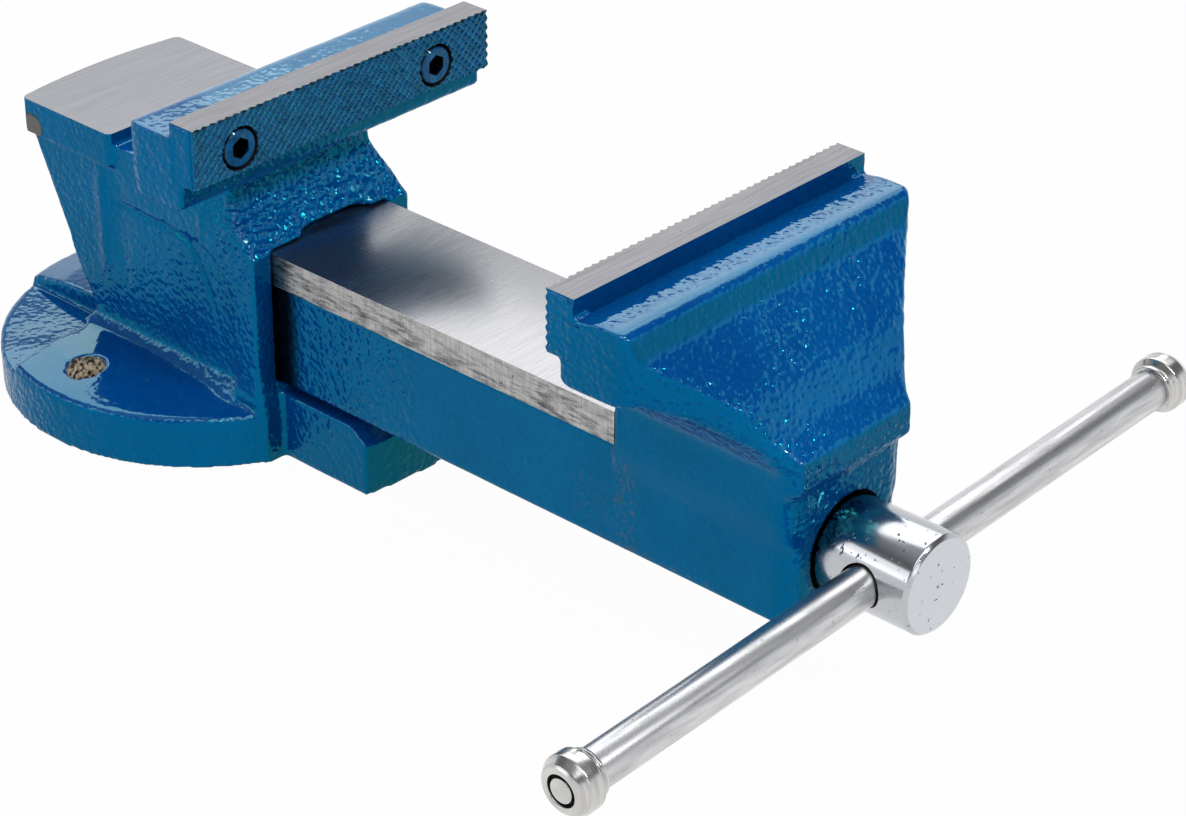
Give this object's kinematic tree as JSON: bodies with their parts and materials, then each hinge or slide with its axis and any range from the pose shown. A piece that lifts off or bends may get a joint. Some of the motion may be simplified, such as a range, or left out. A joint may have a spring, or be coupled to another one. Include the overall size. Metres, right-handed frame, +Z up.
{
  "type": "bench vise",
  "caption": "Cast bench vise with a round bolt-down base, anvil, box slide, lead screw and loose tommy bar, steel jaw plates.",
  "frame": {"origin": "centre of the round base, midway between its two bolt holes, on the underside", "axes": "+X to the right along the jaws, -Y towards the tommy bar, +Z up"},
  "size_m": [0.2175, 0.2972, 0.1025],
  "materials": {
    "blue_casting": "glossy hammered blue paint over cast iron, with ground steel tops",
    "jaw_plate_steel": "ground top, diamond-knurled face under blue paint",
    "painted_screw": "glossy blue paint",
    "chromed_steel": "bright chrome with fine pits",
    "bright_steel": "drawn and turned bright steel",
    "zinc_steel": "dull zinc plating",
    "spring_steel": "dark oiled steel",
    "nut_iron": "bare machined iron"
  },
  "bodies": {
    "base": {"fixed_jaw_body": "blue_casting", "fixed_jaw_plate": "jaw_plate_steel", "fixed_plate_screw_left": "painted_screw", "fixed_plate_screw_right": "painted_screw", "spindle_nut": "nut_iron", "nut_flat_washer": "zinc_steel", "nut_lock_washer": "zinc_steel", "nut_bolt": "zinc_steel"},
    "jaw": {"sliding_jaw": "blue_casting", "sliding_jaw_plate": "jaw_plate_steel", "sliding_plate_screw_left": "painted_screw", "sliding_plate_screw_right": "painted_screw"},
    "screw": {"spindle": "chromed_steel", "thrust_washer": "zinc_steel", "spindle_spring": "spring_steel", "spindle_retainer": "zinc_steel", "retainer_pin": "spring_steel"},
    "handle": {"handle_bar": "bright_steel", "handle_knob_left": "bright_steel", "handle_knob_right": "bright_steel"}
  },
  "joints": [
    {"name": "jaw_slide", "type": "slide", "parent": "base", "child": "jaw", "axis": [0, -1, 0], "range_m": [-0.1131, 0.0121]},
    {"name": "spindle_turn", "type": "hinge", "parent": "jaw", "child": "screw", "pos_m": [0, -0.2155, 0.0351], "axis": [0, -1, 0], "range_deg": [-10170, 1080]},
    {"name": "handle_slide", "type": "slide", "parent": "screw", "child": "handle", "axis": [0.9993, 0, 0.0384], "range_m": [-0.0868, 0.0877]}
  ],
  "couplings": [
    {"joint": "jaw_slide", "follows": "spindle_turn", "m_per_rad": 0.00063662}
  ]
}
